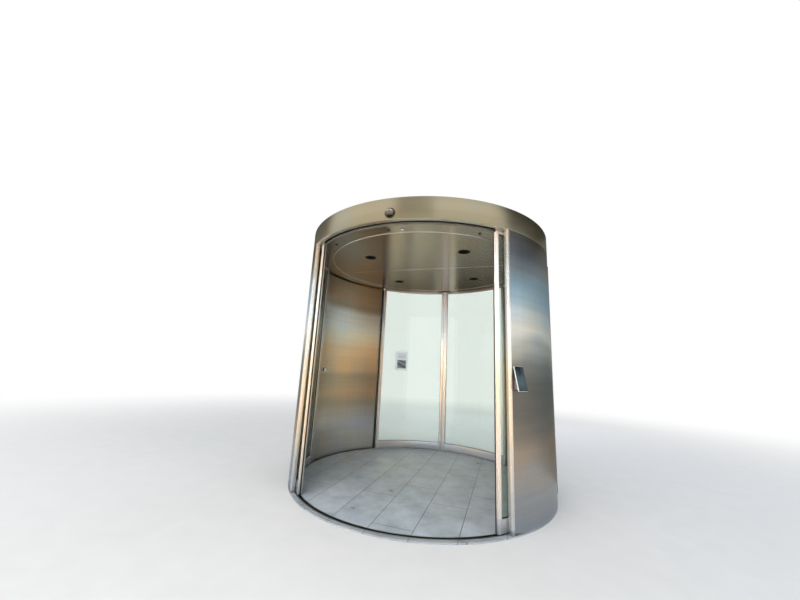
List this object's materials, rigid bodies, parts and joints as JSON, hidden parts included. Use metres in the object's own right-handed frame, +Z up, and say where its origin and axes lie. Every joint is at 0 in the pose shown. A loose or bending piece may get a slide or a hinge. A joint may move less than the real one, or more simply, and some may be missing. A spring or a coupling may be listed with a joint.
{
  "type": "curved sliding door drum",
  "caption": "Round entrance drum with curved glass leaves that slide along its side walls, under a canopy with an overhead roller track.",
  "frame": {"origin": "centre of the drum at the underside of its floor", "axes": "+Z up, -Y out through the street doorway, +X to the right of someone who looks in through the street doorway"},
  "size_m": [2.872, 2.8976, 2.672],
  "materials": {
    "wall_steel": "satin, brushed level",
    "post_steel": "satin",
    "fascia_steel": "satin, brushed level",
    "ceiling_steel": "semi-bright, brushed",
    "leaf_steel": "bright satin",
    "ring_steel": "satin",
    "channel_steel": "satin",
    "switch_steel": "satin",
    "sensor_plate": "satin",
    "reader_silver": "satin anodised",
    "reader_glass": "glossy black",
    "dark_dome": "glossy",
    "black_sensor": "semi-gloss black",
    "black_lamp_can": "matt black",
    "black_rubber": "matt",
    "clear_glass": "clear, faintly green",
    "floor_stone": "honed light grey",
    "insulation": "rigid insulation board",
    "galvanised_steel": "galvanised",
    "track_aluminium": "mill finish",
    "roof_sheet": "matt dark grey",
    "carriage_steel": "zinc plated"
  },
  "bodies": {
    "drum": {"floor_ring": "ring_steel", "floor_paving": "floor_stone", "floor_rim": "floor_stone", "left_wall_core": "insulation", "left_wall_outer_skin": "wall_steel", "left_wall_inner_skin": "wall_steel", "right_wall_core": "insulation", "right_wall_outer_skin": "wall_steel", "right_wall_inner_skin": "wall_steel", "front_left_post": "post_steel", "front_right_post": "post_steel", "back_left_post": "post_steel", "back_right_post": "post_steel", "front_fascia": "fascia_steel", "back_fascia": "fascia_steel", "canopy_frame": "galvanised_steel", "overhead_track": "track_aluminium", "roof_lid": "roof_sheet", "ceiling_ring": "ceiling_steel", "front_ceiling": "ceiling_steel", "back_ceiling": "ceiling_steel", "downlights": "black_lamp_can", "presence_sensors": "black_sensor", "motion_sensor_bases": "sensor_plate", "motion_sensor_domes": "dark_dome", "card_reader_body": "reader_silver", "card_reader_face": "reader_glass", "release_switch": "switch_steel", "facade_channels": "channel_steel"},
    "front_left_leaf": {"front_left_leaf_frame": "leaf_steel", "front_left_leaf_glass": "clear_glass", "front_left_leaf_seals": "black_rubber", "front_left_leaf_carriages": "carriage_steel"},
    "front_right_leaf": {"front_right_leaf_frame": "leaf_steel", "front_right_leaf_glass": "clear_glass", "front_right_leaf_seals": "black_rubber", "front_right_leaf_carriages": "carriage_steel"},
    "back_left_leaf": {"back_left_leaf_frame": "leaf_steel", "back_left_leaf_glass": "clear_glass", "back_left_leaf_seals": "black_rubber", "back_left_leaf_carriages": "carriage_steel"},
    "back_right_leaf": {"back_right_leaf_frame": "leaf_steel", "back_right_leaf_glass": "clear_glass", "back_right_leaf_seals": "black_rubber", "back_right_leaf_carriages": "carriage_steel"}
  },
  "joints": [
    {"name": "front_right_travel", "type": "hinge", "parent": "drum", "child": "front_right_leaf", "pos_m": [0, 0, 0], "axis": [0, 0, 1], "range_deg": [-39.85, 0]},
    {"name": "front_left_travel", "type": "hinge", "parent": "drum", "child": "front_left_leaf", "pos_m": [0, 0, 0], "axis": [0, 0, 1], "range_deg": [0, 39.85]},
    {"name": "back_right_travel", "type": "hinge", "parent": "drum", "child": "back_right_leaf", "pos_m": [0, 0, 0], "axis": [0, 0, 1], "range_deg": [-39.85, 0]},
    {"name": "back_left_travel", "type": "hinge", "parent": "drum", "child": "back_left_leaf", "pos_m": [0, 0, 0], "axis": [0, 0, 1], "range_deg": [0, 39.85]}
  ],
  "couplings": [
    {"joint": "front_left_travel", "follows": "front_right_travel", "ratio": -1},
    {"joint": "back_left_travel", "follows": "back_right_travel", "ratio": -1}
  ]
}
